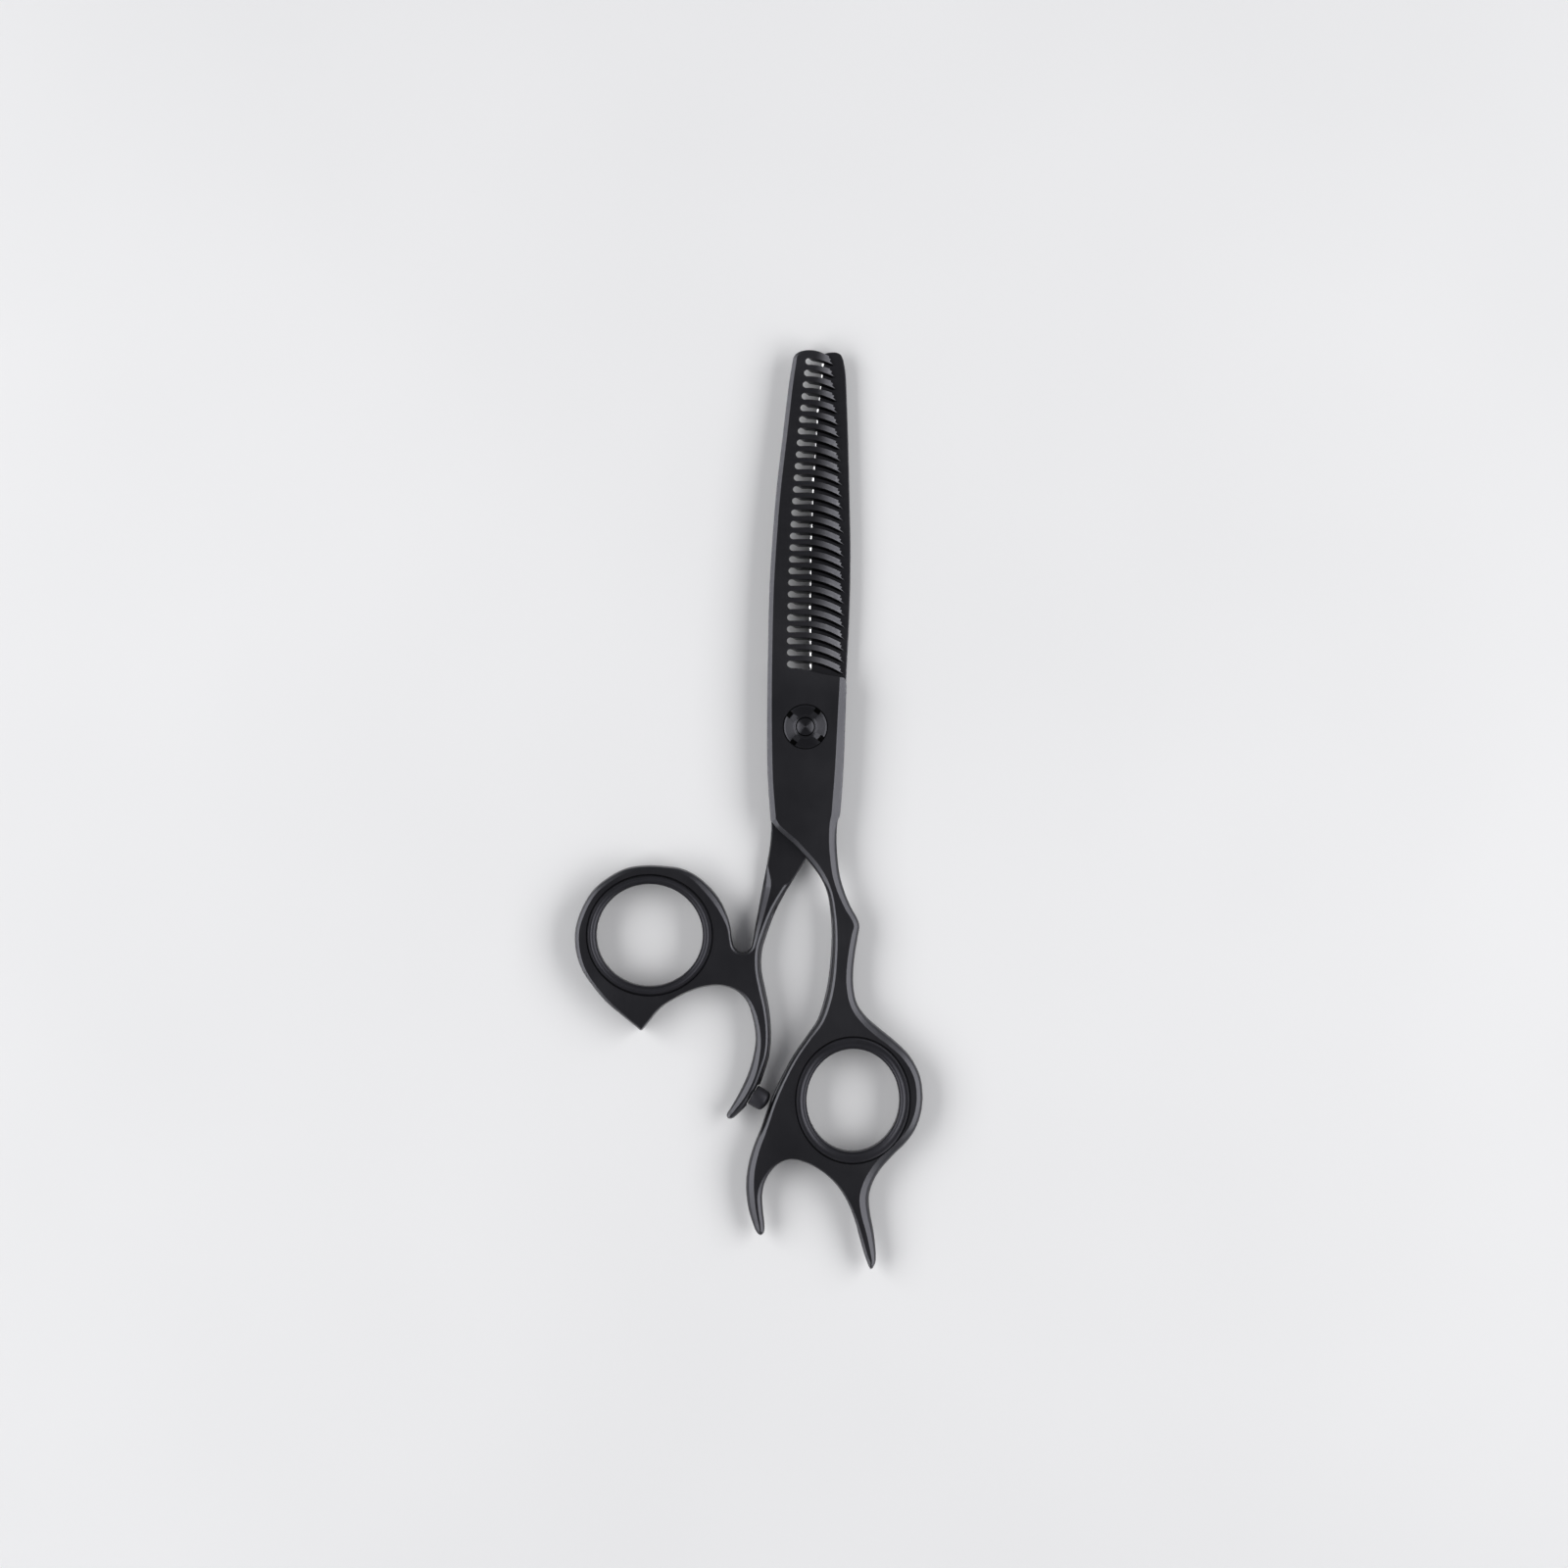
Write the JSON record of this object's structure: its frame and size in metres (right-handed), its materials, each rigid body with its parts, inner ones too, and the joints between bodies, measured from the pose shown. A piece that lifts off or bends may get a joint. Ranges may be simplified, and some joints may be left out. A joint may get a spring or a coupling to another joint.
{
  "type": "thinning shears",
  "caption": "Offset thinning shears with one toothed blade, one plain blade, lined finger rings with rests, a rubber bumper and a notched tension dial.",
  "frame": {"origin": "on the pivot axis, at the back face of the pivot stud's head, which is also the plane that the shears lie on", "axes": "+Y from the pivot to the blade tips, +Z along the pivot axis from the stud's head to the dial, +X towards the finger ring's side; the shears are closed at rest"},
  "size_m": [0.0656, 0.1734, 0.0065],
  "materials": {
    "coated_steel": "satin black titanium-type coating on ground and polished steel",
    "spring_steel": "bright plain steel",
    "soft_insert": "smooth semi-gloss black elastomer",
    "bumper_rubber": "matt black rubber",
    "nylon": "natural off-white nylon"
  },
  "bodies": {
    "finger_half": {"comb_blade": "coated_steel", "finger_handle": "coated_steel", "finger_insert": "soft_insert", "pivot_bush": "nylon"},
    "thumb_half": {"plain_blade": "coated_steel", "thumb_handle": "coated_steel", "thumb_insert": "soft_insert", "bumper_pad": "bumper_rubber", "bumper_stud": "spring_steel", "pivot_stud": "coated_steel", "blade_washer": "nylon", "thrust_washer": "nylon", "click_spring": "spring_steel"},
    "tension_dial": {"tension_dial": "coated_steel"}
  },
  "joints": [
    {"name": "blade_pivot", "type": "hinge", "parent": "finger_half", "child": "thumb_half", "pos_m": [0, 0, 0.003], "axis": [0, 0, -1], "range_deg": [0, 90]},
    {"name": "dial_turn", "type": "hinge", "parent": "thumb_half", "child": "tension_dial", "pos_m": [0, 0, 0.006], "axis": [0, 0, 1], "range_deg": [-180, 180]}
  ]
}
